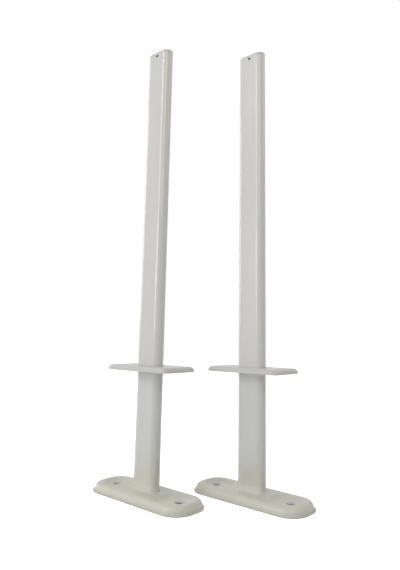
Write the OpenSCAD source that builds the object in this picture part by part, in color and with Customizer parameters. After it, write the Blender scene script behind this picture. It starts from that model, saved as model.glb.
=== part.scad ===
// A pair of free-standing net posts: two flat-oval tubes on oblong screw-down feet,
// each with a cover collar that slides on the tube and stays where it is put.
// Origin: on the floor, midway between the posts. X runs along the feet, Z is up.

/* [Post tube] */
// Height of a post from the floor to the top of its cap
post_h = 903; // [600:1:1200]
// Width of the flat-oval tube
tube_w = 60; // [52:1:70]
// Depth of the flat-oval tube
tube_d = 25; // [20:1:32]
// Wall of the tube
tube_wall = 1.5; // [1:0.1:3]

/* [Net hole] */
// Diameter of the hole through both wide faces for the net cord
net_hole_d = 5.5; // [3:0.1:8]
// Depth of the net hole's axis below the top of the cap
net_hole_drop = 8.5; // [8.5:0.5:60]

/* [End cap] */
// Thickness of the cap's lid
cap_t = 3; // [1.5:0.1:5]
// Rounding of the lid's upper edge
cap_round = 1.2; // [0.4:0.1:1.4]
// Depth of the cap's skirt inside the tube
cap_skirt_h = 2.5; // [1.5:0.1:2.5]
// Wall of the cap's skirt
cap_skirt_wall = 1.6; // [1:0.1:3]
// Clearance between the skirt and the inside of the tube
cap_fit = 0.1; // [0.05:0.05:0.4]

/* [Foot shell] */
// Length of the foot over its lip
foot_l = 250; // [230:1:320]
// Width of the foot over its lip
foot_w = 94; // [88:1:120]
// Corner radius of the foot, seen from above
foot_corner_r = 38; // [30:1:43]
// Height of the foot
foot_h = 15; // [14:0.5:24]
// Rounding of the foot's upper edge
foot_round = 9; // [4:0.5:9]
// Lean of the foot's side wall towards its upper edge
foot_draft = 0.8; // [0.4:0.1:3]
// How far the lip stands out from the side wall
lip_out = 3.4; // [1.5:0.1:6]
// Thickness of the lip
lip_t = 2.2; // [1.6:0.1:4]
// Thickness of the pressed sheet
sheet_t = 2.5; // [1.5:0.1:3.5]

/* [Foot dishes and screw holes] */
// Distance between the two screw holes
screw_spacing = 171; // [165:1:180]
// Diameter of a screw hole
screw_d = 11; // [6:0.5:13]
// Length of the dish round a screw hole
dish_l = 72; // [66:1:78]
// Width of the dish
dish_w = 60; // [48:1:62]
// Depth of the dish below the top of the foot
dish_depth = 5; // [2:0.1:6]
// Run of the dish's sloping side
dish_slope = 11; // [6:0.5:12]
// Distance from a dish's middle to the post's axis
dish_from_post = 75; // [73:0.5:78]

/* [Anchor plate] */
// Clearance between the plate's edge and the inside of the shell
plate_gap = 0.8; // [0.3:0.1:3]

/* [Weld] */
// Leg of the weld fillet round the tube
weld_leg = 2.5; // [1.5:0.1:3.5]
// Clearance between the tube and the slot in the shell
slot_fit = 0.15; // [0.05:0.05:0.5]

/* [Collar] */
// Height of the collar's underside above the floor
collar_z = 233; // [120:1:400]
// Length of the collar
collar_l = 165; // [140:1:200]
// Width of the collar
collar_w = 84; // [74:1:100]
// Corner radius of the collar, seen from above
collar_corner_r = 10; // [9:0.5:26]
// Height of the collar
collar_h = 9.5; // [9:0.5:16]
// Height of the upright edge round the collar
collar_edge_h = 5; // [2.4:0.1:6.5]
// Run of the collar's sloping side
collar_slope = 6; // [4:0.5:7.5]
// Bulge of the sloping side: 1 is straight
collar_bulge = 1.35; // [1:0.05:2]
// Thickness of the collar's wall
collar_wall = 2.2; // [1.6:0.1:2.4]
// Clearance between the tube and the collar's slot
collar_fit = 0.5; // [0.3:0.1:1]

/* [Collar grip] */
// Thickness of the soft liner that grips the tube
grip_t = 2; // [1.5:0.1:4]
// Running clearance between the liner and the tube
grip_fit = 0.3; // [0.2:0.05:0.35]
// Wall of the neck that holds the liner
neck_wall = 2; // [1.5:0.1:3]
// Distance from the collar's underside up to the neck and the liner
neck_up = 3; // [2.6:0.1:4]
// Clearance between the liner and the neck
neck_fit = 0.05; // [0.02:0.01:0.2]

/* [Pair] */
// Distance between the two posts along the feet
pair_along = 148; // [0:1:600]
// Distance between the two posts across the feet
pair_across = 133; // [125:1:900]

/* [Hidden] */
$fn = 96;

paint = [0.87, 0.86, 0.82];
plastic = [0.86, 0.85, 0.80];
cap_grey = [0.74, 0.74, 0.71];
bare_steel = [0.52, 0.53, 0.55];
soft_black = [0.16, 0.16, 0.17];

eps = 0.01;
round_steps = 8;
slope_steps = 10;

tube_in_w = tube_w - 2 * tube_wall;
tube_in_d = tube_d - 2 * tube_wall;
tube_top = post_h - cap_t;
dish_floor = foot_h - dish_depth;
plate_t = dish_floor - sheet_t;
inner_round = foot_round - sheet_t;
plate_over = max(0, inner_round - dish_depth);
plate_inset = lip_out + foot_draft + sheet_t + plate_gap
    + inner_round - sqrt(pow(inner_round, 2) - pow(plate_over, 2));
sink_d = screw_d + 2 * sheet_t;
slot_w = tube_w + 2 * slot_fit;
slot_d = tube_d + 2 * slot_fit;
grip_in_w = tube_w + 2 * grip_fit;
grip_in_d = tube_d + 2 * grip_fit;
grip_out_w = grip_in_w + 2 * grip_t;
grip_out_d = grip_in_d + 2 * grip_t;
neck_in_w = grip_out_w + 2 * neck_fit;
neck_in_d = grip_out_d + 2 * neck_fit;
grip_top = collar_h - collar_wall;

// Outlines, drawn in plan.
module flat_oval(w, d) {
    square([w - d, d], center = true);
    for (side = [-1, 1])
        translate([side * (w - d) / 2, 0]) circle(d = d);
}

module rounded_rect(l, w, r) {
    square([l - 2 * r, w], center = true);
    square([l, w - 2 * r], center = true);
    for (sx = [-1, 1], sy = [-1, 1])
        translate([sx * (l / 2 - r), sy * (w / 2 - r)]) circle(r = r);
}

// A side profile is a list of [inset, z] points from the bottom to the top. These three
// close it towards the middle: round a vertical axis, or as a bar across the whole width.
function closed_at(profile, reach) =
    concat([[0, profile[0][1]]],
           [for (p = profile) [reach - p[0], p[1]]],
           [[0, profile[len(profile) - 1][1]]]);

function both_sides(profile, reach) =
    concat([for (p = profile) [reach - p[0], p[1]]],
           [for (i = [len(profile) - 1 : -1 : 0]) [profile[i][0] - reach, profile[i][1]]]);

module turned(profile, r) {
    rotate_extrude() polygon(closed_at(profile, r));
}

// A block with a rounded-rectangle plan whose side follows the profile all round.
module swept_block(l, w, r, profile) {
    for (sx = [-1, 1], sy = [-1, 1])
        translate([sx * (l / 2 - r), sy * (w / 2 - r), 0]) turned(profile, r);
    rotate([90, 0, 90])
        linear_extrude(l - 2 * r, center = true) polygon(both_sides(profile, w / 2));
    rotate([90, 0, 0])
        linear_extrude(w - 2 * r, center = true) polygon(both_sides(profile, l / 2));
}

// The same with a flat-oval plan.
module swept_oval(w, d, profile) {
    for (side = [-1, 1])
        translate([side * (w - d) / 2, 0, 0]) turned(profile, d / 2);
    rotate([90, 0, 90])
        linear_extrude(w - d, center = true) polygon(both_sides(profile, d / 2));
}

// Quarter round from an upright wall at the inset to the flat top at z.
function quarter_round(r, inset, z) =
    [for (i = [0 : round_steps])
        let (a = 90 * i / round_steps)
        [inset + r * (1 - cos(a)), z - r + r * sin(a)]];

// Soft S-shaped rise from a floor at z up by the height, over the run.
function s_rise(run, z, height) =
    [for (i = [0 : slope_steps])
        let (u = i / slope_steps)
        [run * (1 - u), z + height * u * u * (3 - 2 * u)]];

function foot_side(inset, top, r) =
    concat([[inset, 0]], quarter_round(r, inset + foot_draft, top));

// The lip is a thin flange with a shallow groove where it meets the side wall.
lip_side = [[0.4, 0], [0, 0.4], [0, lip_t - 0.5], [0.5, lip_t], [lip_out * 0.4, lip_t],
            [lip_out * 0.7, lip_t - 0.8], [lip_out + 0.5, lip_t - 0.8]];

module dish(grow, drop) {
    rise = s_rise(dish_slope, dish_floor - drop, dish_depth);
    swept_block(dish_l + 2 * grow, dish_w + 2 * grow, dish_w / 2 - 1 + grow,
                concat(rise, [[0, foot_h - drop + (grow > 0 ? eps : 1)]]));
}

module at_screws() {
    for (side = [-1, 1]) translate([side * screw_spacing / 2, 0, 0]) children();
}

module foot_shell() {
    color(paint) difference() {
        union() {
            difference() {
                union() {
                    swept_block(foot_l, foot_w, foot_corner_r, lip_side);
                    swept_block(foot_l, foot_w, foot_corner_r, foot_side(lip_out, foot_h, foot_round));
                }
                translate([0, 0, -eps])
                    swept_block(foot_l, foot_w, foot_corner_r,
                                foot_side(lip_out + sheet_t, foot_h - sheet_t + eps, inner_round));
            }
            for (side = [-1, 1])
                translate([side * dish_from_post, 0, 0]) dish(sheet_t, sheet_t);
            translate([0, 0, foot_h - eps])
                swept_oval(slot_w + 2 * weld_leg, slot_d + 2 * weld_leg,
                           [[0, 0], [weld_leg * 0.35, weld_leg * 0.35], [weld_leg * 0.8, weld_leg]]);
        }
        for (side = [-1, 1])
            translate([side * dish_from_post, 0, 0]) dish(0, 0);
        at_screws() {
            translate([0, 0, dish_floor - sheet_t - eps])
                cylinder(h = sheet_t + 2 * eps, d1 = screw_d, d2 = sink_d);
        }
        translate([0, 0, -1])
            linear_extrude(foot_h + weld_leg + 2) flat_oval(slot_w, slot_d);
    }
}

module anchor_plate() {
    color(bare_steel) difference() {
        linear_extrude(plate_t)
            rounded_rect(foot_l - 2 * plate_inset, foot_w - 2 * plate_inset, foot_corner_r - plate_inset);
        at_screws() translate([0, 0, -1]) cylinder(h = plate_t + 2, d = screw_d);
    }
}

module post_tube() {
    color(paint) difference() {
        translate([0, 0, plate_t]) linear_extrude(tube_top - plate_t) flat_oval(tube_w, tube_d);
        translate([0, 0, plate_t - 1]) linear_extrude(tube_top - plate_t + 2) flat_oval(tube_in_w, tube_in_d);
        translate([0, 0, post_h - net_hole_drop])
            rotate([90, 0, 0]) cylinder(h = tube_d + 2, d = net_hole_d, center = true);
    }
}

module end_cap() {
    skirt_w = tube_in_w - 2 * cap_fit;
    skirt_d = tube_in_d - 2 * cap_fit;
    color(cap_grey) translate([0, 0, tube_top]) {
        swept_oval(tube_w, tube_d, concat([[0, 0]], quarter_round(cap_round, 0, cap_t)));
        translate([0, 0, -cap_skirt_h]) linear_extrude(cap_skirt_h + eps) difference() {
            flat_oval(skirt_w, skirt_d);
            flat_oval(skirt_w - 2 * cap_skirt_wall, skirt_d - 2 * cap_skirt_wall);
        }
    }
}

function crown(inset, drop) =
    [for (i = [0 : slope_steps])
        let (u = i / slope_steps)
        [inset + collar_slope * u,
         collar_edge_h - drop + (collar_h - collar_edge_h) * (1 - pow(1 - u, collar_bulge))]];

module collar() {
    color(plastic) translate([0, 0, collar_z]) difference() {
        union() {
            difference() {
                swept_block(collar_l, collar_w, collar_corner_r,
                            concat([[0.8, 0], [0, 0.8]], crown(0, 0)));
                swept_block(collar_l, collar_w, collar_corner_r,
                            concat([[collar_wall, -1]], crown(collar_wall, collar_wall)));
            }
            translate([0, 0, neck_up]) linear_extrude(grip_top - neck_up + eps)
                flat_oval(neck_in_w + 2 * neck_wall, neck_in_d + 2 * neck_wall);
        }
        translate([0, 0, -1]) linear_extrude(grip_top + 1) flat_oval(neck_in_w, neck_in_d);
        linear_extrude(collar_h + 1) flat_oval(tube_w + 2 * collar_fit, tube_d + 2 * collar_fit);
    }
}

module collar_grip() {
    color(soft_black) translate([0, 0, collar_z + neck_up])
        linear_extrude(grip_top - neck_up) difference() {
            flat_oval(grip_out_w, grip_out_d);
            flat_oval(grip_in_w, grip_in_d);
        }
}

module at_left() {
    translate([-pair_along / 2, -pair_across / 2, 0]) children();
}

module at_right() {
    translate([pair_along / 2, pair_across / 2, 0]) children();
}

at_left() anchor_plate();  // left_anchor_plate
at_left() foot_shell();  // left_foot_shell
at_left() post_tube();  // left_post_tube
at_left() end_cap();  // left_end_cap
at_left() collar();  // left_collar
at_left() collar_grip();  // left_collar_grip
at_right() anchor_plate();  // right_anchor_plate
at_right() foot_shell();  // right_foot_shell
at_right() post_tube();  // right_post_tube
at_right() end_cap();  // right_end_cap
at_right() collar();  // right_collar
at_right() collar_grip();  // right_collar_grip
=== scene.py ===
# Two net posts: flat-oval tubes on pressed feet, each with a cover collar that slides on it.
import math
import bmesh
import bpy
from mathutils import Matrix, Vector


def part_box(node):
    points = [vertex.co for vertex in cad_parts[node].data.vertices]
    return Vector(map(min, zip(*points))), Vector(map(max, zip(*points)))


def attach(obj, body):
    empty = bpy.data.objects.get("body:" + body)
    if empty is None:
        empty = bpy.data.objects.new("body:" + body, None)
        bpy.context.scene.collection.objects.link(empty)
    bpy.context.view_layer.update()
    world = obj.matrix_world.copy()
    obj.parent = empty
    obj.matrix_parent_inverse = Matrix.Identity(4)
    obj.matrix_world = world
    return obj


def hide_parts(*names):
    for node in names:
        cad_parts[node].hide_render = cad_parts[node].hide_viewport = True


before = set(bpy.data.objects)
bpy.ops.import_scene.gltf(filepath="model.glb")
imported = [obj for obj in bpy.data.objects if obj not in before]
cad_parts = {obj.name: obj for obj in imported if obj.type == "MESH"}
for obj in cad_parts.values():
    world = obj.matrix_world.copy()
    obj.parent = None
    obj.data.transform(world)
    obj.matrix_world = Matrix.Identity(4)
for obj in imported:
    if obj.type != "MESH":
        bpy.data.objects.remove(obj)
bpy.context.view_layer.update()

scene = bpy.context.scene
scene.view_settings.view_transform = "Standard"

MM = 0.001
RING = 96                   # points round every rounded outline, a multiple of four
CORNERS = ((1, 1), (-1, 1), (-1, -1), (1, -1))
SMOOTH_ANGLE = 32           # degrees; edges that turn more stay sharp
MERGE = 0.01                # mm; points this close become one
LEVEL = 0.02                # mm; points this close to a height are on it

# Sizes in millimetres, as in the part's source apart from the small edge roundings.
TUBE_W, TUBE_D, TUBE_WALL, TUBE_EDGE = 60, 25, 1.5, 0.3
TUBE_FOOT, TUBE_TOP = 7.5, 900
NET_HOLE_D, NET_HOLE_Z = 5.5, 894.5
LID_T, LID_ROUND, LID_EDGE, LID_RIM = 3, 1.2, 0.2, 2.5
SKIRT_H, SKIRT_GAP, SKIRT_WALL = 2.5, 0.1, 1.6
FOOT_L, FOOT_W, FOOT_R, FOOT_H = 250, 94, 38, 15
FOOT_ROUND, FOOT_DRAFT, SHEET = 9, 0.8, 2.5
LIP_OUT, LIP_T, LIP_EDGE, LIP_GROOVE = 3.4, 2.2, 0.5, 0.8
SCREW_X, SCREW_D, SINK_D = 85.5, 11, 16
RING_W, RING_DROP = 1.3, 0.3        # ring round a countersink, in primer toned as painted shade
DISH_X, DISH_L, DISH_W, DISH_R = 75, 72, 60, 29
DISH_DEPTH = 5
DISH_SLOPE, UNDER_SLOPE = 15, 11    # the pressed sheet is softer above than below
SLOT_GAP, WELD = 0.15, 2.5
COLLAR_Z, COLLAR_L, COLLAR_W, COLLAR_R = 233, 165, 84, 10
COLLAR_H, COLLAR_EDGE, COLLAR_SLOPE = 9.5, 5, 6
COLLAR_BULGE, COLLAR_WALL, COLLAR_GAP = 1.35, 2.2, 0.5
COLLAR_ROUND = 0.8                  # rounding of the collar's lower rim
NECK_UP, NECK_IN, NECK_WALL = 3, 2.35, 2


def post_axis(node):
    """Where the axis of this upright node meets the floor."""
    low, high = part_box(node)
    return Vector(((low[0] + high[0]) / 2, (low[1] + high[1]) / 2, 0))


LEFT = post_axis("left_post_tube")
RIGHT = post_axis("right_post_tube")


# Modelling helpers. An outline is (length, width, corner radius, height), in millimetres.
def begin(name):
    """Make an empty mesh object at the origin and go into edit mode on it."""
    bpy.ops.object.select_all(action="DESELECT")
    piece = bpy.data.objects.new(name, bpy.data.meshes.new(name))
    scene.collection.objects.link(piece)
    bpy.context.view_layer.objects.active = piece
    piece.select_set(True)
    bpy.ops.object.mode_set(mode="EDIT")
    bpy.ops.mesh.select_mode(type="VERT")
    return piece


def points():
    """The points of the mesh in edit mode, with fresh numbers."""
    grid = bmesh.from_edit_mesh(bpy.context.object.data)
    grid.verts.index_update()
    return grid


def mark(grid, chosen):
    """Select these points, and the edges and faces that lie wholly on them."""
    bpy.ops.mesh.select_all(action="DESELECT")
    for point in grid.verts:
        if point.index in chosen:
            point.select = True
    for part in list(grid.edges) + list(grid.faces):
        if all(point.select for point in part.verts):
            part.select = True


def spread(old, new, middle):
    """Take the selected outline from one shape to another, corner by corner."""
    grid = points()
    chosen = {point.index for point in grid.verts if point.select}
    for side_x, side_y in CORNERS:
        corner = {point.index for point in grid.verts if point.index in chosen
                  and (point.co.x - middle.x) * side_x > 0
                  and (point.co.y - middle.y) * side_y > 0}
        mark(grid, corner)
        was, now = [Vector((side_x * (o[0] / 2 - o[2]), side_y * (o[1] / 2 - o[2]), 0)) * MM
                    for o in (old, new)]
        bpy.ops.transform.translate(value=now - was)
        if not math.isclose(new[2], old[2]):
            size = new[2] / old[2]
            bpy.ops.transform.resize(value=(size, size, 1), center_override=middle + now)
        grid = points()
    mark(grid, chosen)


def outline(first, middle):
    """Add a circle in edit mode and pull its quarters apart into the outline."""
    place = middle + Vector((0, 0, first[3] * MM))
    bpy.ops.mesh.primitive_circle_add(vertices=RING, radius=first[2] * MM, location=place,
                                      rotation=(0, 0, math.pi / RING))
    spread((2 * first[2], 2 * first[2], first[2]), first, middle)


def loft(outlines, middle):
    """Draw the first outline, then extrude it through the others."""
    outline(outlines[0], middle)
    for old, new in zip(outlines, outlines[1:]):
        lift = (0, 0, (new[3] - old[3]) * MM)
        bpy.ops.mesh.extrude_region_move(TRANSFORM_OT_translate={"value": lift})
        spread(old, new, middle)


def pick_rims(height, test=lambda x: True):
    """Select the open rims at this height, in millimetres, that pass the test on x."""
    grid = points()
    bpy.ops.mesh.select_all(action="DESELECT")
    for edge in grid.edges:
        if edge.is_boundary and all(abs(point.co.z - height * MM) < LEVEL * MM
                                    and test(point.co.x) for point in edge.verts):
            edge.select = True


def fill(height, test=lambda x: True):
    """Close the flat between the open rims at this height."""
    pick_rims(height, test)
    bpy.ops.mesh.fill(use_beauty=True)


def smooth(piece):
    """Shade all but the sharp edges smooth, and keep flat faces flat up to their edges."""
    bpy.ops.object.select_all(action="DESELECT")
    bpy.context.view_layer.objects.active = piece
    piece.select_set(True)
    bpy.ops.object.shade_smooth_by_angle(angle=math.radians(SMOOTH_ANGLE))
    weigh = piece.modifiers.new("weigh", "WEIGHTED_NORMAL")
    weigh.keep_sharp = True
    bpy.ops.object.modifier_apply(modifier=weigh.name)


def finish_mesh(piece):
    """Merge, turn the faces outwards, leave edit mode and smooth."""
    bpy.ops.mesh.select_all(action="SELECT")
    bpy.ops.mesh.remove_doubles(threshold=MERGE * MM)
    bpy.ops.mesh.normals_make_consistent(inside=False)
    bpy.ops.mesh.select_all(action="DESELECT")
    bpy.ops.object.mode_set(mode="OBJECT")
    smooth(piece)


def inset(shape, step, height):
    """The outline drawn in by the step, at a height."""
    return (shape[0] - 2 * step, shape[1] - 2 * step, shape[2] - step, height)


def profile(shape, steps):
    """Outlines for a side profile of (inset, height) points."""
    return [inset(shape, step, height) for step, height in steps]


def quarter_round(radius, step, height, count=10):
    """Profile points from an upright wall at the inset to a flat top at the height."""
    turns = [math.pi / 2 * i / count for i in range(count + 1)]
    return [(step + radius * (1 - math.cos(t)), height - radius + radius * math.sin(t))
            for t in turns]


def s_fall(run, top, depth, count=16):
    """Profile points of a soft S-shaped slope from the top down into a dish."""
    return [(run * (1 - u), top - depth + depth * u * u * (3 - 2 * u))
            for u in (1 - i / count for i in range(count + 1))]


# Finishes.
def linear(code):
    """A colour written as sRGB hex, in linear light."""
    shares = [int(code[i:i + 2], 16) / 255 for i in (1, 3, 5)]
    return [s / 12.92 if s <= 0.04045 else ((s + 0.055) / 1.055) ** 2.4 for s in shares] + [1]


def connect(tree, node, inputs):
    """Set a node's inputs, by name or number, each to a value or from an output."""
    for socket, value in inputs.items():
        if isinstance(value, bpy.types.NodeSocket):
            tree.links.new(value, node.inputs[socket])
        else:
            node.inputs[socket].default_value = value


def add(tree, kind, inputs, **settings):
    """Add a node with its inputs and settings."""
    node = tree.nodes.new("ShaderNode" + kind)
    for name, value in settings.items():
        setattr(node, name, value)
    connect(tree, node, inputs)
    return node


def finish(name):
    """A new material: its node tree, its shader and the Object coordinates."""
    material = bpy.data.materials.new(name)
    material.use_nodes = True
    tree = material.node_tree
    place = add(tree, "TexCoord", {}).outputs["Object"]
    return material, tree, tree.nodes["Principled BSDF"], place


def per_mm(size):
    """Noise scale whose features are about this many millimetres across."""
    return 1 / (size * MM)


def from_noise(low, high):
    """Map Range inputs that take a noise, mostly 0.3 to 0.7, to values from low to high."""
    return {1: 0.3, 2: 0.7, 3: low, 4: high}


def powder_coat(name, shade_tones, roughness, film):
    """Polyester powder coat on steel: a satin body under a thin, even, glossy film.

    The shade tones go up the piece, each at its height in millimetres, and are painted light
    and shade: painted shade greys the post below the collar, a painted reflection of the foot
    creams it near the bottom, and a painted shadow darkens the foot under its lip. The eye
    sees small sharp highlights on a soft, slightly cloudy off-white.
    """
    material, tree, shader, place = finish(name)
    reach = shade_tones[-1][0]
    # The colour by height is painted shade and light, not a change in the coat.
    height = add(tree, "SeparateXYZ", {0: place}).outputs["Z"]
    share = add(tree, "MapRange", {0: height, 2: reach * MM})
    shade_ramp = add(tree, "ValToRGB", {0: share.outputs[0]})
    stops = shade_ramp.color_ramp.elements
    stops[0].color, stops[1].color = linear(shade_tones[0][1]), linear(shade_tones[-1][1])
    for level, code in shade_tones[1:-1]:
        stops.new(level / reach).color = linear(code)
    clouds = add(tree, "TexNoise", {"Vector": place, "Scale": per_mm(90), "Detail": 3})
    tint = add(tree, "Mix", {0: clouds.outputs["Fac"], 6: linear("#FAF9F6"),
                             7: linear("#FFFFFF")}, data_type="RGBA")
    tone = add(tree, "Mix", {0: 1.0, 6: shade_ramp.outputs[0], 7: tint.outputs[2]},
               data_type="RGBA", blend_type="MULTIPLY")
    # Rub marks about 4 mm wide and 170 mm long, up the piece.
    upright = add(tree, "Mapping", {0: place, 3: (60, 60, 1.5)})
    rubs = add(tree, "TexNoise", {"Vector": upright.outputs[0], "Scale": 4.0, "Detail": 4})
    gloss = add(tree, "MapRange", {0: rubs.outputs["Fac"],
                                   **from_noise(roughness - 0.03, roughness + 0.03)})
    # Orange peel is about 2 mm across; it is drawn at 5 mm, so that it shows.
    peel = add(tree, "TexNoise", {"Vector": place, "Scale": per_mm(5), "Detail": 1})
    bump = add(tree, "Bump", {"Strength": 0.03, "Distance": 0.2 * MM,
                              "Height": peel.outputs["Fac"]})
    connect(tree, shader, {"Base Color": tone.outputs[2], "Roughness": gloss.outputs[0],
                           "Normal": bump.outputs[0], "IOR": 1.5,
                           "Specular IOR Level": 0.25, "Coat Weight": film,
                           "Coat Roughness": 0.12})
    return material


def moulded_abs(name, dark, light, roughness, grain):
    """Injection-moulded ABS: satin to gloss, with flow clouds and a fine spark-eroded grain.

    The eye sees a warm, slightly soft highlight and almost no texture from a step away.
    """
    material, tree, shader, place = finish(name)
    # Flow clouds 60 mm long and 20 mm wide, along the piece.
    along = add(tree, "Mapping", {0: place, 3: (1, 3, 3)})
    flow = add(tree, "TexNoise", {"Vector": along.outputs[0], "Scale": per_mm(60),
                                  "Detail": 2, "Distortion": 0.6})
    tone = add(tree, "Mix", {0: flow.outputs["Fac"], 6: linear(dark), 7: linear(light)},
               data_type="RGBA")
    fine = add(tree, "TexNoise", {"Vector": place, "Scale": per_mm(grain), "Detail": 3})
    worn = add(tree, "MapRange", {0: fine.outputs["Fac"],
                                  **from_noise(roughness - 0.03, roughness + 0.05)})
    bump = add(tree, "Bump", {"Strength": 0.04, "Distance": 0.1 * MM,
                              "Height": fine.outputs["Fac"]})
    connect(tree, shader, {"Base Color": tone.outputs[2], "Roughness": worn.outputs[0],
                           "Normal": bump.outputs[0], "IOR": 1.53})
    return material


def zinc_plate(name):
    """Zinc-plated steel, clear passivated: a cool blue-grey metal with rolling lines.

    The eye sees a dull bluish sheen with cloudy patches from the bath.
    """
    material, tree, shader, place = finish(name)
    bath = add(tree, "TexNoise", {"Vector": place, "Scale": per_mm(12), "Detail": 4})
    tone = add(tree, "Mix", {0: bath.outputs["Fac"], 6: linear("#8D949E"),
                             7: linear("#B9BFC7")}, data_type="RGBA")
    # Rolling lines about 1 mm wide and 125 mm long, along the plate.
    along = add(tree, "Mapping", {0: place, 3: (8, 900, 900)})
    lines = add(tree, "TexNoise", {"Vector": along.outputs[0], "Scale": 1.0, "Detail": 5})
    dull = add(tree, "MapRange", {0: lines.outputs["Fac"], **from_noise(0.34, 0.52)})
    bump = add(tree, "Bump", {"Strength": 0.2, "Distance": 0.05 * MM,
                              "Height": lines.outputs["Fac"]})
    connect(tree, shader, {"Base Color": tone.outputs[2], "Roughness": dull.outputs[0],
                           "Normal": bump.outputs[0], "Metallic": 1.0})
    return material


def dull_film(name, dark, light):
    """Thin dull film on steel that the coat doesn't reach, used as mill scale and as zinc
    primer, in tones that also paint the shade of the hollows it lines.

    The eye sees a flat blue-grey with slightly shinier clouds.
    """
    material, tree, shader, place = finish(name)
    film = add(tree, "TexNoise", {"Vector": place, "Scale": per_mm(4), "Detail": 4})
    tone = add(tree, "Mix", {0: film.outputs["Fac"], 6: linear(dark), 7: linear(light)},
               data_type="RGBA")
    dull = add(tree, "MapRange", {0: film.outputs["Fac"], **from_noise(0.5, 0.65)})
    connect(tree, shader, {"Base Color": tone.outputs[2], "Roughness": dull.outputs[0]})
    return material


def soft_rubber(name):
    """Extruded EPDM rubber: matt black with a talc bloom and fine pits.

    The eye sees a dark soft band with no highlight.
    """
    material, tree, shader, place = finish(name)
    bloom = add(tree, "TexNoise", {"Vector": place, "Scale": per_mm(7), "Detail": 5})
    tone = add(tree, "Mix", {0: bloom.outputs["Fac"], 6: linear("#151516"),
                             7: linear("#2A2A2B")}, data_type="RGBA")
    pits = add(tree, "TexNoise", {"Vector": place, "Scale": per_mm(0.9), "Detail": 2})
    bump = add(tree, "Bump", {"Strength": 0.35, "Distance": 0.2 * MM,
                              "Height": pits.outputs["Fac"]})
    connect(tree, shader, {"Base Color": tone.outputs[2], "Normal": bump.outputs[0],
                           "Roughness": 0.82, "IOR": 1.52})
    return material


# Tones of the coats by height, painted light and shade: (height in millimetres, colour).
# Post: painted shade greys and cools it below the collar, a lighter band just under the collar
# offsets the collar's shadow, and a painted reflection of the foot creams it from 30 to 48 mm.
POST_SHADE_TONES = ((0, "#DADCD8"), (20, "#DADCD8"), (30, "#CBCCC5"), (48, "#C8C7C0"),
              (72, "#C8CBCA"), (110, "#CCCED0"), (200, "#CDCFD2"), (228, "#D4D7DB"),
              (250, "#D3D4D4"), (900, "#D4D5D4"))
# Foot: a painted shadow darkens the lowest 1.7 mm under the lip, and painted warm light tints
# the top.
FOOT_SHADE_TONES = ((0, "#84867F"), (0.9, "#8C8E87"), (1.7, "#D7D9D2"), (6, "#D7D8D2"),
              (11, "#D5D4CA"), (18, "#D6D5CB"))
POST_COAT = powder_coat("powder_coat_off_white_painted_shade", POST_SHADE_TONES, roughness=0.30, film=0.8)
FOOT_COAT = powder_coat("powder_coat_cream_painted_shade", FOOT_SHADE_TONES, roughness=0.42, film=0.3)
COLLAR_ABS = moulded_abs("moulded_abs_cream", "#C6C6C2", "#CBCCC9", roughness=0.34, grain=2.5)
CAP_ABS = moulded_abs("moulded_abs_grey", "#B9B7AE", "#C4C2BA", roughness=0.36, grain=2.0)
ZINC = zinc_plate("zinc_plated_steel")
# Near-black mill scale is painted shade inside the tube, seen through the cross hole.
SCALE_AND_SHADE = dull_film("blue_black_mill_scale", "#10121A", "#1B1F2C")
# The primer's blue-grey is painted shade in the countersinks and on their rings.
PRIMER_AND_SHADE = dull_film("zinc_primer_and_painted_shade", "#B6B9C3", "#C1C4CC")
RUBBER = soft_rubber("epdm_rubber")


# Pieces of the left post. Profile points are (inset, height), and their odd tenths of a
# millimetre round the edges.
def make_tube():
    """Flat-oval steel tube with a cross hole near its top."""
    outer = (TUBE_W, TUBE_D, TUBE_D / 2)
    side = [(TUBE_EDGE, TUBE_FOOT), (0, TUBE_FOOT + TUBE_EDGE), (0, TUBE_TOP - TUBE_EDGE),
            (TUBE_EDGE, TUBE_TOP), (TUBE_WALL, TUBE_TOP), (TUBE_WALL, TUBE_FOOT)]
    tube = begin("left_drawn_tube")
    loft(profile(outer, side), LEFT)
    pick_rims(TUBE_FOOT)
    bpy.ops.mesh.bridge_edge_loops()
    finish_mesh(tube)
    bpy.ops.mesh.primitive_cylinder_add(
        vertices=RING // 2, radius=NET_HOLE_D / 2 * MM, depth=(TUBE_D + 4) * MM,
        location=LEFT + Vector((0, 0, NET_HOLE_Z * MM)), rotation=(math.pi / 2, 0, 0))
    drill = bpy.context.object
    bpy.context.view_layer.objects.active = tube
    cut = tube.modifiers.new("cut", "BOOLEAN")
    cut.object, cut.operation, cut.solver = drill, "DIFFERENCE", "EXACT"
    bpy.ops.object.modifier_apply(modifier=cut.name)
    bpy.data.objects.remove(drill)
    smooth(tube)
    return tube


def make_lid():
    """Push-in end cap: a lid with a rounded edge and a skirt inside the tube."""
    lid = begin("left_push_in_cap")
    shape = (TUBE_W, TUBE_D, TUBE_D / 2)
    top = TUBE_TOP + LID_T
    skirt = TUBE_WALL + SKIRT_GAP
    side = ([(skirt, TUBE_TOP), (LID_EDGE, TUBE_TOP), (0, TUBE_TOP + LID_EDGE)]
            + quarter_round(LID_ROUND, 0, top, 6) + [(LID_ROUND + LID_RIM, top)])
    loft(profile(shape, side), LEFT)
    fill(top)
    under = [(skirt, TUBE_TOP), (skirt, TUBE_TOP - SKIRT_H),
             (skirt + SKIRT_WALL, TUBE_TOP - SKIRT_H), (skirt + SKIRT_WALL, TUBE_TOP)]
    loft(profile(shape, under), LEFT)
    bpy.ops.mesh.edge_face_add()
    finish_mesh(lid)
    return lid


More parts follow.
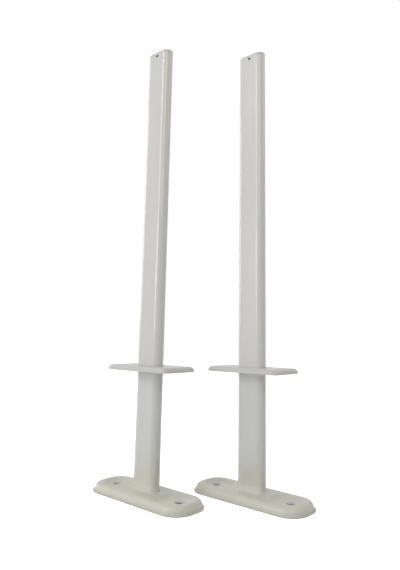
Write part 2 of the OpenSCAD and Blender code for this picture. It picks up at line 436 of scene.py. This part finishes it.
def make_foot():
    """Pressed foot cover: lip, side wall, two dishes with countersinks, weld round the slot."""
    foot = begin("left_pressed_foot")
    shape = (FOOT_L, FOOT_W, FOOT_R)
    groove = LIP_T - LIP_GROOVE
    lip = [(LIP_EDGE, 0), (0.15, 0.12), (0, LIP_EDGE), (0, LIP_T - LIP_EDGE),
           (0.14, LIP_T - 0.12), (LIP_EDGE, LIP_T), (LIP_OUT * 0.4, LIP_T),
           (LIP_OUT * 0.55, LIP_T - 0.35), (LIP_OUT * 0.7, groove), (LIP_OUT + 0.1, groove),
           (LIP_OUT + 0.5, groove + 0.3)]
    wall = quarter_round(FOOT_ROUND, LIP_OUT + FOOT_DRAFT, FOOT_H)
    loft(profile(shape, lip + wall), LEFT)
    # Inside of the shell, from the floor up to the ceiling.
    ceiling = FOOT_H - SHEET
    inner = [(LIP_EDGE, 0), (LIP_OUT + SHEET, 0)] + quarter_round(
        FOOT_ROUND - SHEET, LIP_OUT + SHEET + FOOT_DRAFT, ceiling, 6)
    loft(profile(shape, inner), LEFT)
    # Weld fillet and slot.
    slot = (TUBE_W + 2 * SLOT_GAP, TUBE_D + 2 * SLOT_GAP, TUBE_D / 2 + SLOT_GAP)
    fillet = [(-WELD * (1 - math.sin(t)), FOOT_H + WELD * (1 - math.cos(t)))
              for t in (math.pi / 2 * i / 8 for i in range(9))]
    loft(profile(slot, fillet + [(0, ceiling)]), LEFT)
    dish = (DISH_L, DISH_W, DISH_R)
    under = (DISH_L + 2 * SHEET, DISH_W + 2 * SHEET, DISH_R + SHEET)
    floor = FOOT_H - DISH_DEPTH
    ring = SINK_D + 2 * RING_W
    for side in (-1, 1):
        def on_side(x):
            return (x - LEFT.x) * side > 0

        middle = LEFT + Vector((side * DISH_X * MM, 0, 0))
        loft(profile(dish, s_fall(DISH_SLOPE, FOOT_H, DISH_DEPTH)), middle)
        loft(profile(under, s_fall(UNDER_SLOPE, ceiling, DISH_DEPTH, 8)), middle)
        hole = LEFT + Vector((side * SCREW_X * MM, 0, 0))
        loft([(ring, ring, ring / 2, floor),
              (SINK_D, SINK_D, SINK_D / 2, floor - RING_DROP),
              (SCREW_D, SCREW_D, SCREW_D / 2, floor - SHEET)], hole)
        fill(floor, on_side)
        fill(floor - SHEET, on_side)
    fill(FOOT_H)
    fill(ceiling)
    finish_mesh(foot)
    return foot


def make_collar():
    """Cover collar: shallow domed plate with a slot, hollow below, and a neck for the grip."""
    collar = begin("left_cover_collar")
    shape = (COLLAR_L, COLLAR_W, COLLAR_R)

    def crown(step, drop, count):
        rise = COLLAR_H - COLLAR_EDGE
        return [(step + COLLAR_SLOPE * u,
                 COLLAR_Z + COLLAR_EDGE - drop + rise * (1 - (1 - u) ** COLLAR_BULGE))
                for u in (i / count for i in range(count + 1))]

    top = COLLAR_Z + COLLAR_H
    ceiling = top - COLLAR_WALL
    rim = [(COLLAR_ROUND, COLLAR_Z), (0.24, COLLAR_Z + 0.24), (0, COLLAR_Z + COLLAR_ROUND),
           (0, COLLAR_Z + COLLAR_EDGE - 0.5), (0.1, COLLAR_Z + COLLAR_EDGE - 0.12)]
    loft(profile(shape, rim + crown(0, 0, 14)[1:]), LEFT)
    inner = ([(COLLAR_ROUND, COLLAR_Z), (COLLAR_WALL, COLLAR_Z)]
             + crown(COLLAR_WALL, COLLAR_WALL, 8))
    loft(profile(shape, inner), LEFT)
    slot = (TUBE_W + 2 * COLLAR_GAP, TUBE_D + 2 * COLLAR_GAP, TUBE_D / 2 + COLLAR_GAP)
    out = COLLAR_GAP - NECK_IN
    neck = [(-0.5, top), (-0.15, top - 0.15), (0, top - 0.5), (0, ceiling), (out, ceiling),
            (out, COLLAR_Z + NECK_UP), (out - NECK_WALL, COLLAR_Z + NECK_UP),
            (out - NECK_WALL, ceiling)]
    loft(profile(slot, neck), LEFT)
    fill(top)
    fill(ceiling)
    finish_mesh(collar)
    return collar


def right_copy(piece):
    """The same piece on the right post, with a mesh of its own."""
    twin = piece.copy()
    twin.data = piece.data.copy()
    twin.name = twin.data.name = piece.name.replace("left", "right")
    twin.data.transform(Matrix.Translation(RIGHT - LEFT))
    scene.collection.objects.link(twin)
    return twin


def uncoated_and_shaded(piece, centre):
    """Give the countersinks primer and the inside of the tube near-black mill scale, both toned
    as painted shade.
    """
    piece.data.materials.append(PRIMER_AND_SHADE)
    piece.data.materials.append(SCALE_AND_SHADE)
    ring = (SINK_D / 2 + RING_W) * MM
    floor = (FOOT_H - DISH_DEPTH) * MM
    bore = (TUBE_D / 2 - TUBE_WALL / 3) * MM
    straight = (TUBE_W - TUBE_D) / 2 * MM
    flat = 0.999
    for face in piece.data.polygons:
        middle = face.center - centre
        reach = math.hypot(abs(middle.x) - SCREW_X * MM, middle.y)
        below = middle.z < floor - 0.05 * MM
        # Countersinks and their rings take the primer, which paints their shade.
        if reach < ring and below and abs(face.normal.z) < flat:
            face.material_index = 1
        across = math.hypot(max(abs(middle.x) - straight, 0), middle.y)
        # The bore takes the near-black mill scale, which paints its shade.
        if middle.z > 2 * FOOT_H * MM and across < bore:
            face.material_index = 2


# How each is made, its finish, its body, the node it stands for and the record's slot.
PIECES = (
    (make_tube, POST_COAT, "posts", "post_tube", "post_paint"),
    (make_lid, CAP_ABS, "posts", "end_cap", "cap_plastic"),
    (make_foot, FOOT_COAT, "posts", "foot_shell", "foot_paint"),
    (make_collar, COLLAR_ABS, "slider", "collar", "collar_plastic"),
)
for make, coat, body, node, slot_name in PIECES:
    left_piece = make()
    left_piece.data.materials.append(coat)
    right_piece = right_copy(left_piece)
    for piece, side, centre in ((left_piece, "left", LEFT), (right_piece, "right", RIGHT)):
        if node in ("foot_shell", "post_tube"):
            uncoated_and_shaded(piece, centre)
        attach(piece, body if body == "posts" else side + "_slider")
        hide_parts(side + "_" + node)

for side in ("left", "right"):
    for node, coat in (("anchor_plate", ZINC), ("collar_grip", RUBBER)):
        for material_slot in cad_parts[side + "_" + node].material_slots:
            material_slot.material = coat


def place_camera():
    """Camera in front and to the right, its lens given in pixels of a 400 x 570 render."""
    width, height = 400, 570
    focal, middle_x, middle_y = 505.07, 205.06, 247.81
    heading, pitch, roll = [math.radians(angle) for angle in (40.783, 9.820, 1.019)]
    lens = bpy.data.cameras.new("camera")
    lens.sensor_width = 36
    lens.lens = focal / height * lens.sensor_width
    lens.shift_x = (width / 2 - middle_x) / height
    lens.shift_y = (middle_y - height / 2) / height
    camera = bpy.data.objects.new("camera", lens)
    scene.collection.objects.link(camera)
    camera.matrix_world = (Matrix.Translation((0.6658, -0.7672, 0.3026))
                           @ Matrix.Rotation(heading, 4, "Z")
                           @ Matrix.Rotation(math.pi / 2 + pitch, 4, "X")
                           @ Matrix.Rotation(roll, 4, "Z"))
    scene.camera = camera


def soft_box(name, turn, rise, reach, size, watts, colour, lights_all):
    """A soft studio lamp aimed at the posts: turn from -Y towards +X and rise in degrees.

    A lamp that doesn't light all only shows as a highlight on gloss.
    """
    lamp = bpy.data.lights.new(name, "AREA")
    lamp.shape = "RECTANGLE"
    lamp.size, lamp.size_y = size
    lamp.energy = watts
    lamp.color = linear(colour)[:3]
    holder = bpy.data.objects.new(name, lamp)
    scene.collection.objects.link(holder)
    holder.visible_diffuse = lights_all
    across, up = math.radians(turn), math.radians(rise)
    way = Vector((math.sin(across) * math.cos(up), -math.cos(across) * math.cos(up),
                  math.sin(up)))
    half_height = Vector((0, 0, 0.45))
    holder.location = half_height + way * reach
    holder.rotation_euler = (-way).to_track_quat("-Z", "Y").to_euler()


def white_room():
    """Soft ambient light; what the camera and reflections see of it is plain white."""
    world = bpy.data.worlds.new("studio")
    scene.world = world
    world.use_nodes = True
    tree = world.node_tree
    seen = add(tree, "LightPath", {}).outputs
    straight = add(tree, "Math", {0: seen["Is Camera Ray"], 1: seen["Is Glossy Ray"]},
                   operation="MAXIMUM")
    shown = add(tree, "Math", {0: straight.outputs[0], 1: seen["Is Transmission Ray"]},
                operation="MAXIMUM")
    ambient, white = 0.30, 1.0
    level = add(tree, "MapRange", {0: shown.outputs[0], 3: ambient, 4: white})
    connect(tree, tree.nodes["Background"], {0: linear("#FFFFFF"), 1: level.outputs[0]})


def white_floor():
    """Plain pale floor, just below the feet, that keeps a soft shadow."""
    bpy.ops.mesh.primitive_plane_add(size=8, location=(0, 0, -0.5 * MM))
    floor = bpy.context.object
    floor.name = "studio_floor"
    material = bpy.data.materials.new("matt_white_floor")
    material.use_nodes = True
    tree = material.node_tree
    seen = add(tree, "LightPath", {}).outputs
    shown = add(tree, "Math", {0: seen["Is Camera Ray"], 1: seen["Is Glossy Ray"]},
                operation="MAXIMUM")
    glow = add(tree, "Math", {0: shown.outputs[0], 1: 0.8}, operation="MULTIPLY")
    connect(tree, tree.nodes["Principled BSDF"],
            {"Base Color": linear("#E6E6E4"), "Roughness": 1.0,
             "Emission Color": linear("#FFFFFF"), "Emission Strength": glow.outputs[0]})
    floor.data.materials.append(material)


# Name, turn, rise, distance in metres, size, watts, colour, and whether it lights all.
LAMPS = (
    ("key", -20, 18, 5, (1.7, 3.6), 74, "#FDFCFF", True),
    ("left", -72, 14, 5, (2.4, 2.4), 52, "#FFFAEC", True),
    ("front", 38, 28, 5, (2.2, 2.2), 40, "#FFF6E2", True),
    ("right", 120, 35, 5, (2.4, 2.4), 27, "#FFF6EC", True),
    ("top", 0, 88, 4, (3.0, 3.0), 31, "#FFFFFF", True),
    ("low_strip", -27, 7, 5, (0.5, 1.1), 22, "#FFFFFF", False),
    ("high_strip", -27, 31, 5, (0.5, 0.7), 10, "#FFFFFF", False),
)
place_camera()
white_room()
white_floor()
for lamp_values in LAMPS:
    soft_box(*lamp_values)
